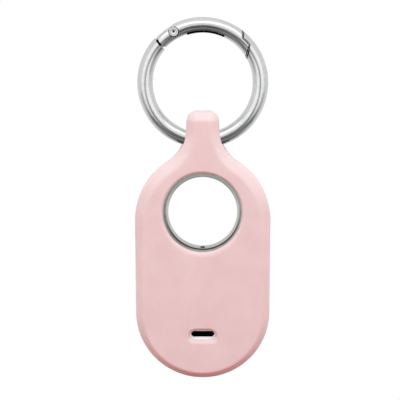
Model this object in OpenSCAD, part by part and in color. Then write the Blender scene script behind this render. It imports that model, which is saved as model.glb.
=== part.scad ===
// Tracker tag holder: a silicone case that hangs from a spring gate ring, with the tag inside.
// Millimetres. The origin is the centre of the spring ring's eye, X is right, Z is up, and the
// front faces -Y. Plans are drawn in X and Z. A turned profile is drawn in radius and in
// distance towards the front, so its second coordinate is -Y.

/* [Spring ring] */
// Outside diameter of the spring ring
ring_od = 33.5; // [32.5:0.1:35]
// Thickness of the ring's wire
wire_d = 4; // [3.8:0.1:4.4]
// Distance of the gate's rivet outside the line of the wire
pivot_out = 0.25; // [0.1:0.05:0.4]
// Direction of the gate's rivet, up from the right
pivot_angle = 119.7; // [117:0.1:122]
// Length of the gate behind its rivet
tail_reach = 4.45; // [4:0.05:4.8]
// Direction of the gate's nose, up from the right
nose_angle = 37.3; // [36:0.1:38.5]
// Direction of the shoulder behind the nose, up from the right
shoulder_angle = 46.9; // [45:0.1:49]
// Distance of the step where the nose closes under the fixed lip, outside the line of the wire
lap_out = 0.55; // [0.3:0.05:0.8]
// Gap round the closed nose
lap_gap = 0.1; // [0.06:0.01:0.2]
// Gap between the gate's tail and the fixed ring
tail_gap = 0.6; // [0.4:0.05:0.8]

/* [Gate hinge] */
// Diameter of the rivet's shank
rivet_d = 1.5; // [1.2:0.05:1.6]
// Running clearance round the shank
rivet_clear = 0.05; // [0.03:0.01:0.08]
// Width that the rivet's heads stand out past its shank
rivet_head_lip = 0.5; // [0.35:0.05:0.6]
// Thickness of the fixed hinge tongue
tongue_t = 1.8; // [1.5:0.05:1.9]
// Running clearance on each side of the tongue
fork_clear = 0.1; // [0.06:0.01:0.2]
// Width of the tongue's round end past the rivet's shank
tongue_wall = 0.75; // [0.6:0.05:0.85]
// Depth of the channel in the gate, outside the line of the wire
channel_out = 1; // [0.8:0.05:1.15]
// Angle of full wire between the channel and the shoulder
channel_land = 18.1; // [14:0.1:22]
// Height of the notch that bares the channel from the front
notch_h = 0.6; // [0.3:0.05:0.65]

/* [Gate spring] */
// Thickness of the spring's wire
spring_wire = 0.3; // [0.25:0.01:0.32]
// Mean radius of the coil
coil_r = 0.6; // [0.5:0.01:0.65]
// Number of turns
spring_turns = 10; // [8:1:11]
// Distance of the coil's curved line inside the line of the wire
spring_in = 0.6; // [0.45:0.05:0.75]
// Diameter of the plunger
plunger_d = 1.5; // [1.3:0.05:1.6]
// Length of the plunger without its peg
plunger_l = 2.4; // [2:0.05:2.6]

/* [Case] */
// Thickness of the side wall at the upper end
wall_top = 2.85; // [2.5:0.05:3.3]
// Thickness of the side wall at the lower end
wall_low = 2.6; // [2.3:0.05:3]
// Thickness of the front wall
front_wall = 1.5; // [1.2:0.05:2]
// Thickness of the lip behind the tag
back_lip = 1.4; // [1:0.05:1.8]
// Width of the lip over the tag's rim
lip_w = 1.8; // [1.2:0.1:2.6]
// Width of the bevel round the front
bevel_w = 2.6; // [2.2:0.05:2.8]
// Depth of the bevel round the front
bevel_d = 1.9; // [1.4:0.05:2.4]
// Radius of the rounding round the back
back_round = 1; // [0.6:0.05:1.4]
// Clearance between the tag and the pocket
pocket_gap = 0.05; // [0.02:0.01:0.1]

/* [Loop] */
// Half the width of the neck
neck_half = 4.19; // [3.9:0.01:4.5]
// Length of the neck's straight sides
neck_straight = 0.95; // [0.5:0.05:2]
// Radius of the loop's upper corners inside the bevel
corner_inner = 0.25; // [0.2:0.05:0.6]
// Radius of the flare from the neck to the body
flare_r = 11.4; // [10.5:0.05:12.5]
// Distance from the wire line down to the centre of the case's upper end
neck_drop = 20.05; // [19.6:0.05:20.6]
// Clearance round the wire in the loop
loop_clear = 0.15; // [0.1:0.01:0.3]

/* [Case openings] */
// Distance of the front hole's edge outside the metal ring's opening
eye_margin = 0.5; // [0.3:0.05:0.8]
// Rounding of the front hole's edge
eye_round = 1.2; // [0.8:0.05:1.2]
// Distance of the speaker opening's ends past the speaker slot
port_side = 0.4; // [0.2:0.05:0.8]
// Room in the speaker opening above and below the slot, on average
port_over = 0.51; // [0.45:0.005:0.8]
// Width of the bevel round the speaker opening
port_bevel = 0.8; // [0.4:0.05:1]

/* [Tag] */
// Width of the tag
tag_w = 28.8; // [28.6:0.05:29]
// Thickness of the tag's walls
tag_wall = 1; // [0.9:0.05:1.05]
// Rounding of the tag's edges
tag_round = 1.6; // [1.2:0.05:1.7]
// Distance of the joint between the shells behind the middle
seam_back = 1; // [0.8:0.05:1.1]
// Distance between the metal ring's collar and the side wall of the tag's upper end
hole_side = 0.22; // [0.1:0.01:0.4]
// Radius of the metal ring's opening at its faces
mouth_r = 9.7; // [9.5:0.05:9.9]
// Height of the bulge in the metal ring's opening
liner_bulge = 0.9; // [0.6:0.05:1.2]
// Thickness of the metal ring at its faces
liner_wall = 0.9; // [0.7:0.05:1]
// Width of the step round the metal ring's front opening
mouth_step_w = 0.12; // [0.05:0.01:0.25]
// Depth of the step round the metal ring's front opening
mouth_step_d = 0.6; // [0.3:0.05:0.8]
// Diameter of the tray ejector hole
eject_d = 1; // [0.8:0.05:1.1]
// Width of the speaker slot
slot_w = 5.9; // [5:0.1:6]
// Height of the speaker slot
slot_h = 1.48; // [1.1:0.01:1.5]
// Distance of the speaker slot below the centre of the tag's lower end
slot_drop = 5.66; // [5.2:0.02:5.8]

/* [Battery] */
// Diameter of the cell
cell_d = 20; // [19.8:0.05:20]
// Thickness of the cell
cell_t = 3.2; // [3:0.05:3.2]
// Distance of the cell's centre above the centre of the tag's lower end
cell_rise = 2.04; // [1.8:0.01:2.3]
// Room between the metal ring's collar and the cell
tab_room = 2.08; // [1.8:0.01:3]
// Room for the contacts between the board and the cell
contact_room = 0.6; // [0.4:0.05:1]
// Width of the battery tray's rim beside the cell
tray_side = 0.75; // [0.6:0.05:0.9]
// Thickness of the tray's floor
tray_floor = 0.6; // [0.5:0.01:0.62]
// Distance between the cell and the tray's end cap
cap_gap = 1.45; // [1.3:0.05:1.7]

/* [Board and sounder] */
// Thickness of the circuit board
board_t = 0.6; // [0.5:0.01:0.62]
// Radius of the button
button_r = 4.5; // [4:0.05:4.5]
// Travel of the button
button_travel = 0.25; // [0.15:0.01:0.3]
// Distance between the metal ring's collar and the button's flange
button_rest = 2.55; // [2.2:0.05:3]
// Radius of the sounder's brass disc
piezo_r = 6; // [5.6:0.05:6.05]
// Width of the brass disc's rim round the ceramic disc
piezo_rim = 1.8; // [1.2:0.05:2.2]

/* [Hidden] */
$fn = 96;

// Overrun of every cut past the faces it opens
over = 1;
// Reach of the plans that only bound an angle or a side
reach = 4 * ring_od;

// Spring ring
ring_r = (ring_od - wire_d) / 2;
wire_r = wire_d / 2;
pivot_r = ring_r + pivot_out;
lap_r = ring_r + lap_out;
channel_r = ring_r + channel_out;
channel_end = shoulder_angle + channel_land;
spring_path_r = ring_r - spring_in;
pivot = pivot_r * [cos(pivot_angle), sin(pivot_angle)];
nose_reach = norm(pivot - ring_r * [cos(nose_angle), sin(nose_angle)]);
shoulder_reach = norm(pivot - ring_r * [cos(shoulder_angle), sin(shoulder_angle)]);
tongue_inset = 0.7;
tongue_hold = 24;
tongue_skin = 0.4;
tongue_out_r = ring_r + wire_r - tongue_skin;
seat_share = 0.75;
rivet_seat = seat_share * wire_r;
rivet_seat_clear = 0.05;
rivet_head_h = 0.5;
rivet_head_d = rivet_d + 2 * rivet_head_lip;
fork_w = tongue_t + 2 * fork_clear;
tongue_r = rivet_d / 2 + tongue_wall;
rivet_dimple_r = 0.6;
rivet_dimple_h = 0.25;
rivet_edge = 0.15;
fork_round_clear = 0.2;

// Cam between the tongue and the plunger, drawn in a frame at the rivet
cam_angle = 112;
cam_face = 1.2;
cam_heel = 1.85;
cam_offset = 0.9;
// Shelf left under the channel behind the notch, clear of the plunger's side
shelf_clear = 0.06;
shelf_r = norm(pivot) * cos(pivot_angle - cam_angle) - cam_offset - plunger_d / 2 - shelf_clear;
plunger_gap = 0.02;
peg_r = 0.35;
peg_l = 0.8;
spring_start = 103;
spring_seat_gap = 0.05;
spring_seat_turn = 0.4;
notch_start = 108;
fork_turn = 1;

// Depths inside the tag, from its front to its back
flange_t = 0.2;
flange_gap = 0.05;
press_gap = 0.2;
board_room = flange_gap + flange_t + button_travel + press_gap;
cell_clear = 0.05;
tray_back_gap = 0.25;
room_t = board_room + board_t + contact_room + cell_t + cell_clear + tray_floor + tray_back_gap;
tag_t = room_t + 2 * tag_wall;
room_front = -room_t / 2;
room_back = room_t / 2;
board_front = room_front + board_room;
board_back = board_front + board_t;
tray_back = room_back - tray_back_gap;
cell_back = tray_back - tray_floor - cell_clear;
cell_front = cell_back - cell_t;
seam_y = seam_back;

// Sizes across the tag
room_r = tag_w / 2 - tag_wall;
throat_r = mouth_r - liner_bulge;
liner_r = mouth_r + liner_wall;
liner_bulge_r = ((tag_t / 2) ^ 2 + liner_bulge ^ 2) / (2 * liner_bulge);
liner_fit = 0.02;
rib_h = 0.35;
rib_half = 0.4;
rib_clear = 0.05;
collar_wall = 0.73;
collar_r = liner_r + liner_fit + collar_wall;
eject_y = -tag_t / 4;

// Places down the tag, from the hole to the lower end
body_z = -ring_r - neck_drop;
hole_rise = room_r - collar_r - hole_side;
hole_z = body_z + hole_rise;
cell_z = hole_z - collar_r - tab_room - cell_d / 2;
low_z = cell_z - cell_rise;
end_gap = body_z - low_z;
slot_z = low_z - slot_drop;
tray_z = cell_z - cell_d / 2 - cap_gap;

// Case
case_top_r = tag_w / 2 + pocket_gap + wall_top;
case_low_r = tag_w / 2 + pocket_gap + wall_low;
loop_z = -ring_r;
loop_corner = bevel_w + corner_inner;
front_y = -tag_t / 2 - pocket_gap - front_wall;
back_y = tag_t / 2 + pocket_gap + back_lip;
flare_tilt = asin((neck_half + flare_r) / (case_top_r + flare_r));
flare_z = body_z + (case_top_r + flare_r) * cos(flare_tilt);
loop_top = flare_z + neck_straight + loop_corner;
side_tilt = asin((case_top_r - case_low_r) / end_gap);
// Bevel from the flat front to the side wall: share of its width, share of its depth
bevel_shares = [[1, 0], [0.9, 0.015], [0.8, 0.07], [0.7, 0.16], [0.22, 0.7], [0.08, 0.87], [0, 1]];
back_steps = 4;
pocket_r = tag_w / 2 + pocket_gap;
lip_r = tag_w / 2 - lip_w;
lip_clear = 0.03;
eye_r = mouth_r + eye_margin;
port_w = slot_w + 2 * port_side;
port_h = slot_h + 2 * port_over;
port_sag = 0.22;
port_z = slot_z - port_sag;

// Battery
can_share = 0.875;
cap_share = 0.86;
can_t = can_share * cell_t;
tray_w = cell_d + 2 * tray_side;
tray_rim_drop = 0.1;
tray_front = cell_front + tray_rim_drop;
tray_cap_over = 0.4;
tray_cap_front = cell_front - tray_cap_over;
tray_clear = 0.05;
tab_w = 2.4;
tab_h = 1.3;
tab_lap = 0.5;
tab_front = eject_y - tab_lap;
plug_h = 1.25;
plug_rib_t = 0.5;
gasket_t = 0.5;
gasket_rise = 0.45;
gasket_inset = 0.45;
gasket_fit = 0.02;

// Board and sounder
board_edge_gap = 0.5;
board_collar_gap = 0.05;
board_low_gap = 1.35;
board_r = room_r - board_edge_gap;
board_top_r = collar_r + board_collar_gap;
board_low_z = tray_z + board_low_gap;
button_gap = 0.1;
flange_w = 0.6;
button_z = hole_z - collar_r - button_rest - button_r - flange_w;
dome_r = 2;
dome_h = 0.3;
dome_sheet = 0.08;
dome_gap = 0.02;
stake_r = 0.7;
stake_shoulder = 0.5;
stake_in = 3.8;
stake_x = room_r - stake_in;
stake_rest = 2.05;
stake_z = hole_z - collar_r - stake_rest;
stake_head = 0.35;
piezo_rise = 0.88;
piezo_z = slot_z + piezo_rise;
ceramic_r = piezo_r - piezo_rim;
gasket_ring_w = 0.8;
gasket_ring_t = 0.25;
piezo_t = 0.15;
ceramic_t = 0.1;
mesh_t = 0.1;
mesh_margin = 0.5;
strip_t = 0.2;
strip_gap = 0.1;
strip_half = 1.5;
strip_side = -4;

// Solid of a plan drawn in X and Z, from one depth to another
module plate(y0, y1) {
  translate([0, y1, 0])
    rotate([90, 0, 0])
      linear_extrude(y1 - y0)
        children();
}

// Solid of a profile turned about a line from front to back
module turned(x, z) {
  translate([x, 0, z])
    rotate([90, 0, 0])
      rotate_extrude()
        children();
}

// Half of a straight run with the same profile, upwards from z0
module run_half(z0, len) {
  translate([0, 0, z0])
    linear_extrude(len)
      mirror([0, 1])
        children();
}

// Upright oval solid of the tag's outline, from its half profile
module upright_oval() {
  for (z = [body_z, low_z]) {
    turned(0, z) children();
  }
  run_half(low_z, end_gap) children();
  mirror([1, 0, 0]) run_half(low_z, end_gap) children();
}

// Lying oval solid, from its half profile
module lying_oval(z, len) {
  for (x = [-len / 2, len / 2]) {
    turned(x, z) children();
  }
  translate([-len / 2, 0, z]) rotate([0, 90, 0]) {
    run_half(0, len) children();
    mirror([1, 0, 0]) run_half(0, len) children();
  }
}

// Half profile of a slab from one depth to another, with its front or back edge rounded
module slab_profile(r, y0, y1, round_front = 0, round_back = 0) {
  intersection() {
    translate([0, -y1]) square([r, y1 - y0]);
    union() {
      translate([0, -y1 + round_back]) square([r, y1 - y0 - round_front - round_back]);
      translate([0, -y1]) square([r - max(round_front, round_back), y1 - y0]);
      if (round_front > 0) {
        translate([r - round_front, -y0 - round_front]) circle(r = round_front);
      }
      if (round_back > 0) {
        translate([r - round_back, -y1 + round_back]) circle(r = round_back);
      }
    }
  }
}

// Plan of a slice of the ring between two directions
module wedge(a0, a1) {
  polygon([[0, 0], for (k = [0:3]) reach * [cos(a0 + k * (a1 - a0) / 3), sin(a0 + k * (a1 - a0) / 3)]]);
}

module at_pivot() {
  translate(pivot) rotate(cam_angle - 90) children();
}

module wire_ring() {
  rotate([90, 0, 0])
    rotate_extrude()
      translate([ring_r, 0])
        circle(r = wire_r);
}

// Plan of the gate, or of the room that the fixed ring leaves for it. Its ends are arcs round the rivet.
module gate_plan(nose_gap = 0, tail_end_gap = 0) {
  intersection() {
    wedge(0, pivot_angle);
    union() {
      translate(pivot) circle(r = shoulder_reach + nose_gap);
      intersection() {
        translate(pivot) circle(r = nose_reach + nose_gap);
        circle(r = lap_r + nose_gap);
      }
    }
  }
  intersection() {
    wedge(pivot_angle, pivot_angle + 90);
    translate(pivot) circle(r = tail_reach + tail_end_gap);
  }
}

// Fixed hinge tongue: a round end at the rivet, a leg to the ring and a heel with a flat cam face
module tongue_plan() {
  difference() {
    union() {
      translate(pivot) circle(r = tongue_r);
      at_pivot() translate([-cam_face, -cam_heel]) square([2 * cam_face, cam_heel]);
      intersection() {
        wedge(pivot_angle, pivot_angle + tongue_hold);
        difference() {
          circle(r = tongue_out_r);
          circle(r = ring_r - wire_r + tongue_inset);
        }
      }
    }
    at_pivot() translate([cam_face, -wire_d]) square(2 * wire_d);
    translate(pivot) circle(d = rivet_d);
  }
}

module ring_body() {
  color([0.78, 0.79, 0.8]) {
    difference() {
      wire_ring();
      plate(-wire_d, wire_d) gate_plan(lap_gap, tail_gap);
    }
    plate(-tongue_t / 2, tongue_t / 2) tongue_plan();
  }
}

module ring_gate() {
  color([0.82, 0.83, 0.84])
    difference() {
      intersection() {
        wire_ring();
        plate(-wire_d, wire_d) gate_plan();
      }
      // Fork for the tongue, and the channel for the spring
      plate(-fork_w / 2, fork_w / 2) {
        difference() {
          intersection() {
            wedge(channel_end, pivot_angle + fork_turn);
            circle(r = channel_r);
          }
          intersection() {
            wedge(channel_end, notch_start);
            circle(r = shelf_r);
          }
        }
        translate(pivot) circle(r = tongue_r + fork_round_clear);
        wedge(pivot_angle, pivot_angle + 90);
      }
      // Notch in the front edge of the channel
      plate(-wire_d, 0)
        intersection() {
          wedge(channel_end, notch_start);
          circle(r = ring_r - wire_r + notch_h);
        }
      plate(-wire_d, wire_d) translate(pivot) circle(d = rivet_d + 2 * rivet_clear);
      for (side = [-1, 1]) {
        translate([pivot[0], side * (rivet_seat + wire_r / 2), pivot[1]])
          rotate([90, 0, 0])
            cylinder(r = rivet_head_d / 2 + 2 * rivet_clear, h = wire_r, center = true);
      }
    }
}

// Half profile of the rivet: shank, head with a dulled edge, and the dimple from riveting
module rivet_profile() {
  head_r = rivet_head_d / 2;
  head_in = rivet_seat + rivet_seat_clear;
  head_out = head_in + rivet_head_h;
  polygon([
    [0, 0], [rivet_d / 2, 0], [rivet_d / 2, head_in], [head_r, head_in],
    [head_r, head_out - rivet_edge], [head_r - rivet_edge, head_out],
    [rivet_dimple_r, head_out], [0, head_out - rivet_dimple_h]
  ]);
}

module gate_rivet() {
  color([0.72, 0.73, 0.74]) {
    turned(pivot[0], pivot[1]) rivet_profile();
    turned(pivot[0], pivot[1]) mirror([0, 1]) rivet_profile();
  }
}

// Line of the spring's wire, a helix whose axis follows the ring
spring_sides = 6;
spring_rings = 8;
spring_steps = spring_turns * spring_rings;
spring_stop = channel_end + asin((spring_wire / 2 + spring_seat_gap) / spring_path_r) + spring_seat_turn;

function spring_dir(k) = spring_start + (spring_stop - spring_start) * k / spring_steps;
function spring_out(k) =
  let (a = spring_dir(k), t = 360 * k / spring_rings)
  [cos(a) * cos(t), sin(t), sin(a) * cos(t)];
function spring_axis(k) = spring_path_r * [cos(spring_dir(k)), 0, sin(spring_dir(k))];
function spring_point(k) = spring_axis(k) + coil_r * spring_out(k);
function unit(v) = v / norm(v);
function spring_way(k) = unit(spring_point(k + 1 / 2) - spring_point(k - 1 / 2));
function spring_skin(k, j) =
  let (n = spring_out(k), b = cross(spring_way(k), n), t = 360 * j / spring_sides)
  spring_point(k) + spring_wire / 2 * (cos(t) * n + sin(t) * b);

spring_gap = min([for (i = [0:spring_steps]) for (j = [i + spring_rings / 2:min(i + 2 * spring_rings, spring_steps)])
  norm(spring_point(i) - spring_point(j))]) - spring_wire;
echo(spring_gap = spring_gap);

module gate_spring() {
  last = spring_steps * spring_sides;
  color([0.6, 0.61, 0.62])
    polyhedron(
      points = [for (k = [0:spring_steps]) for (j = [0:spring_sides - 1]) spring_skin(k, j)],
      faces = [
        [for (j = [spring_sides - 1:-1:0]) j],
        for (k = [0:spring_steps - 1]) for (j = [0:spring_sides - 1])
          let (a = k * spring_sides + j, b = k * spring_sides + (j + 1) % spring_sides)
          each [[a, b, b + spring_sides], [a, b + spring_sides, a + spring_sides]],
        [for (j = [0:spring_sides - 1]) last + j]
      ]
    );
}

module spring_plunger() {
  tip = cam_face + plunger_gap;
  color([0.66, 0.67, 0.68])
    translate([pivot[0], 0, pivot[1]])
      rotate([0, 90 - cam_angle, 0])
        translate([tip, 0, -cam_offset]) {
          translate([plunger_d / 2, 0, 0]) sphere(d = plunger_d);
          translate([plunger_d / 2, 0, 0])
            rotate([0, 90, 0])
              cylinder(d = plunger_d, h = plunger_l - plunger_d / 2);
          translate([plunger_d / 2, 0, 0])
            rotate([0, 90, 0])
              cylinder(r = peg_r, h = plunger_l - plunger_d / 2 + peg_l);
        }
}

// Case outline. Each point carries the direction that faces outward from it.
function arc_points(cx, cz, r, a0, a1, steps, first = 0) =
  [for (k = [first:steps]) let (a = a0 + k * (a1 - a0) / steps)
    [[cx + r * cos(a), cz + r * sin(a)], [cos(a), sin(a)]]];
function hollow_points(cx, cz, r, a0, a1, steps) =
  [for (k = [0:steps]) let (a = a0 + k * (a1 - a0) / steps)
    [[cx + r * cos(a), cz + r * sin(a)], [-cos(a), -sin(a)]]];

corner_steps = 6;
flare_steps = 9;
upper_steps = 12;
lower_steps = 18;
right_side = concat(
  arc_points(neck_half - loop_corner, loop_top - loop_corner, loop_corner, 90, 0, corner_steps),
  hollow_points(neck_half + flare_r, flare_z, flare_r, 180, 270 - flare_tilt, flare_steps),
  arc_points(0, body_z, case_top_r, 90 - flare_tilt, -side_tilt, upper_steps, 1),
  arc_points(0, low_z, case_low_r, -side_tilt, -90, lower_steps)
);
outline = concat(
  right_side,
  [for (k = [len(right_side) - 2:-1:0]) [[-right_side[k][0][0], right_side[k][0][1]], [-right_side[k][1][0], right_side[k][1][1]]]]
);
// Layers from the front to the back: how far in from the outline, and how deep
layers = concat(
  [for (s = bevel_shares) [s[0] * bevel_w, front_y + s[1] * bevel_d]],
  [for (k = [0:back_steps]) let (a = 90 * k / back_steps)
    [back_round * (1 - cos(a)), back_y - back_round + back_round * sin(a)]],
  [[back_round, back_y + over]]
);

module case_form() {
  n = len(outline);
  m = len(layers);
  polyhedron(
    points = [for (l = layers) for (p = outline) [p[0][0] - l[0] * p[1][0], l[1], p[0][1] - l[0] * p[1][1]]],
    faces = [
      [for (j = [n - 1:-1:0]) j],
      for (k = [0:m - 2]) for (j = [0:n - 1])
        let (a = k * n + j, b = k * n + (j + 1) % n)
        each [[a, b, b + n], [a, b + n, a + n]],
      [for (j = [0:n - 1]) (m - 1) * n + j]
    ]
  );
}

// Room that the ring's wire sweeps as the case swings on it
module loop_bore() {
  half = 2 * neck_half;
  translate([0, 0, loop_z])
    rotate([0, 90, 0])
      rotate_extrude()
        difference() {
          translate([0, -half]) square([ring_r, 2 * half]);
          translate([ring_r, 0]) circle(r = ring_r - wire_r - loop_clear);
        }
}

// Half profile of a front opening with its edge rounded outwards
module eye_profile() {
  translate([0, -tag_t]) square([eye_r, 2 * tag_t]);
  difference() {
    translate([0, -front_y - eye_round]) square([eye_r + eye_round, eye_round + over]);
    translate([eye_r + eye_round, -front_y - eye_round]) circle(r = eye_round);
  }
}

module port_profile() {
  half = port_h / 2;
  polygon([
    [0, 0], [half, 0], [half, -front_y - port_bevel],
    [half + port_bevel + over, -front_y + over], [0, -front_y + over]
  ]);
}

module case_shell() {
  color([0.93, 0.8, 0.8])
    difference() {
      case_form();
      upright_oval() slab_profile(pocket_r, -tag_t / 2 - pocket_gap, back_y + 2 * over, tag_round, 0);
      turned(0, hole_z) eye_profile();
      lying_oval(port_z, port_w - port_h) port_profile();
      loop_bore();
      translate([-reach / 2, back_y, -reach]) cube([reach, 2 * over, 2 * reach]);
    }
}

module case_rear_lip() {
  color([0.91, 0.77, 0.77])
    difference() {
      upright_oval() slab_profile(pocket_r, tag_t / 2 + lip_clear, back_y);
      upright_oval() slab_profile(lip_r, 0, back_y + over);
    }
}

// Opening in the tag's lower end for the battery tray
module tray_way() {
  translate([-tag_w, tray_cap_front - tray_clear, low_z - tag_w])
    cube([2 * tag_w, tray_back - tray_cap_front + 2 * tray_clear, tray_z - low_z + tag_w + tray_clear]);
}

// Plan of the tag's outline at a radius of its round ends
module oval_plan(r) {
  translate([0, body_z]) circle(r = r);
  translate([0, low_z]) circle(r = r);
  translate([-r, low_z]) square([2 * r, end_gap]);
}

// Collar profile round the metal ring, with half of the groove for its rib
module collar_bore(y0, y1) {
  turned(0, hole_z) {
    translate([0, -y1]) square([liner_r + liner_fit, y1 - y0]);
    translate([0, -seam_y - rib_half - rib_clear]) square([liner_r + rib_h + rib_clear, 2 * (rib_half + rib_clear)]);
  }
}

// Heat stakes that carry the board, each with a shoulder, a shank and a melted head
module board_stakes() {
  for (side = [-1, 1]) {
    turned(side * stake_x, stake_z) {
      translate([0, -board_front]) square([stake_r + stake_shoulder, board_front - room_front + tag_wall / 2]);
      translate([0, -board_back - stake_head]) square([stake_r, board_t + board_room + stake_head]);
      translate([0, -board_back - stake_head]) square([stake_r + stake_shoulder / 2, stake_head]);
    }
  }
}

module tag_front_housing() {
  color([0.95, 0.95, 0.95])
    difference() {
      union() {
        difference() {
          upright_oval() slab_profile(tag_w / 2, -tag_t / 2, seam_y, tag_round, 0);
          upright_oval() slab_profile(room_r, room_front, seam_y + over);
        }
        turned(0, hole_z) translate([0, -seam_y]) square([collar_r, seam_y - room_front + tag_wall / 2]);
        board_stakes();
        // Rib that the tray's plug slides behind
        intersection() {
          plate(tray_cap_front - tray_clear - plug_rib_t, tray_cap_front - tray_clear)
            oval_plan(room_r + tag_wall / 2);
          translate([-tag_w / 2, room_front, tray_z + tray_clear])
            cube([tag_w, room_t, plug_h]);
        }
      }
      collar_bore(-tag_t, seam_y + over);
      translate([0, eject_y, hole_z]) mirror([0, 0, 1]) cylinder(d = eject_d, h = collar_r + over);
      turned(0, button_z) square([button_r + button_gap, tag_t]);
      lying_oval(slot_z, slot_w - slot_h) square([slot_h / 2, tag_t]);
      tray_way();
    }
}

module tag_rear_housing() {
  color([0.92, 0.92, 0.92])
    difference() {
      union() {
        difference() {
          upright_oval() slab_profile(tag_w / 2, seam_y, tag_t / 2, 0, tag_round);
          upright_oval() slab_profile(room_r, 0, room_back);
        }
        turned(0, hole_z) translate([0, -room_back - tag_wall / 2]) square([collar_r, room_back + tag_wall / 2 - seam_y]);
      }
      collar_bore(0, tag_t);
      tray_way();
    }
}

// Metal ring that lines the tag's hole. Its opening bulges inward, and the ejector hole goes down through it.
module tag_ring() {
  color([0.72, 0.72, 0.7])
    difference() {
      turned(0, hole_z)
        difference() {
          union() {
            translate([0, -tag_t / 2]) square([liner_r, tag_t]);
            translate([0, -seam_y - rib_half]) square([liner_r + rib_h, 2 * rib_half]);
          }
          difference() {
            translate([0, -tag_t]) square([mouth_r, 2 * tag_t]);
            translate([throat_r + liner_bulge_r, 0]) circle(r = liner_bulge_r);
          }
          translate([0, tag_t / 2 - mouth_step_d]) square([mouth_r + mouth_step_w, mouth_step_d + over]);
        }
      translate([0, eject_y, hole_z]) mirror([0, 0, 1]) cylinder(d = eject_d, h = collar_r + over);
    }
}

module speaker_mesh() {
  color([0.1, 0.1, 0.1])
    plate(room_front, room_front + mesh_t)
      translate([0, slot_z])
        square([slot_w + 2 * mesh_margin, slot_h + 2 * mesh_margin], center = true);
}

module speaker_gasket() {
  color([0.15, 0.15, 0.16])
    plate(room_front, room_front + gasket_ring_t)
      translate([0, piezo_z])
        difference() {
          circle(r = piezo_r);
          circle(r = piezo_r - gasket_ring_w);
        }
}

module piezo_plate() {
  color([0.8, 0.65, 0.3])
    plate(room_front + gasket_ring_t, room_front + gasket_ring_t + piezo_t)
      translate([0, piezo_z])
        circle(r = piezo_r);
}

module piezo_ceramic() {
  color([0.9, 0.9, 0.86])
    plate(room_front + gasket_ring_t + piezo_t, room_front + gasket_ring_t + piezo_t + ceramic_t)
      translate([0, piezo_z])
        circle(r = ceramic_r);
}

module button_cap() {
  flange_y = room_front + flange_gap;
  post_y = board_front - dome_h - dome_gap;
  color([0.9, 0.9, 0.9])
    turned(0, button_z) {
      translate([0, -flange_y - flange_t]) square([button_r, flange_y + flange_t + tag_t / 2]);
      translate([0, -flange_y - flange_t]) square([button_r + flange_w, flange_t]);
      translate([0, -post_y]) square([dome_r / 2, post_y - flange_y]);
    }
}

module switch_dome() {
  color([0.85, 0.83, 0.7])
    turned(0, button_z)
      polygon([
        [0, -board_front + dome_h], [dome_r / 2, -board_front + dome_h], [dome_r, -board_front],
        [dome_r - 2 * dome_sheet, -board_front], [dome_r / 2 - dome_sheet, -board_front + dome_h - dome_sheet],
        [0, -board_front + dome_h - dome_sheet]
      ]);
}

module board_plan() {
  difference() {
    oval_plan(board_r);
    translate([0, hole_z]) circle(r = board_top_r);
    translate([-reach / 2, hole_z - collar_r / 2]) square(reach);
    translate([-reach / 2, board_low_z - reach]) square(reach);
    translate([-tab_w / 2 - stake_shoulder, hole_z - collar_r - 2 * tab_h - over]) square([tab_w + 2 * stake_shoulder, collar_r]);
    for (side = [-1, 1]) {
      translate([side * stake_x, stake_z]) circle(r = stake_r);
    }
  }
}

module circuit_board() {
  color([0.1, 0.35, 0.2])
    plate(board_front, board_back) board_plan();
}

shield_w = 5.2;
shield_h = 8;
shield_t = 0.55;
shield_gap = 0.7;
shield_x = button_r + flange_w + shield_gap;
module shield_can() {
  color([0.75, 0.76, 0.78])
    difference() {
      plate(board_front - shield_t, board_front)
        translate([shield_x, button_z - shield_h / 2]) square([shield_w, shield_h]);
      plate(board_front - shield_t + dome_sheet, board_front + over)
        translate([shield_x + dome_sheet, button_z - shield_h / 2 + dome_sheet])
          square([shield_w - 2 * dome_sheet, shield_h - 2 * dome_sheet]);
    }
}

// Chips on the front of the board: how far left of the button, how far above it, width and height
chip_size = 3.4;
chip_t = 0.5;
chip_shares = [[2, 0.9, 1, 1], [2.9, -0.35, 0.7, 0.5], [1.95, -0.35, 0.6, 0.35], [2.3, -1.1, 0.9, 0.45]];
module board_chips() {
  color([0.12, 0.12, 0.13])
    plate(board_front - chip_t, board_front)
      for (s = chip_shares) {
        translate([-s[0] * chip_size - s[2] * chip_size / 2, button_z + s[1] * chip_size - s[3] * chip_size / 2])
          square([s[2] * chip_size, s[3] * chip_size]);
      }
}

module antenna_strip() {
  outer = room_r - strip_gap;
  color([0.8, 0.6, 0.35])
    intersection() {
      difference() {
        upright_oval() slab_profile(outer, -strip_half, strip_half);
        upright_oval() slab_profile(outer - strip_t, -strip_half - over, strip_half + over);
      }
      translate([strip_side - reach, -reach / 2, cell_z]) cube([reach, reach, reach]);
    }
}

// Gasket round the tray's plug, or with a gap the groove that it lies in
module gasket_form(gap, bore_extra) {
  difference() {
    intersection() {
      plate(tray_cap_front - gap, tray_back + gap) oval_plan(room_r - gasket_fit + gap);
      translate([-tag_w / 2, room_front, tray_z + gasket_rise - gap])
        cube([tag_w, room_t, gasket_t + 2 * gap]);
    }
    plate(tray_cap_front + gasket_inset + bore_extra, tray_back - gasket_inset - bore_extra)
      oval_plan(room_r - gasket_fit - gasket_inset - bore_extra);
  }
}

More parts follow.
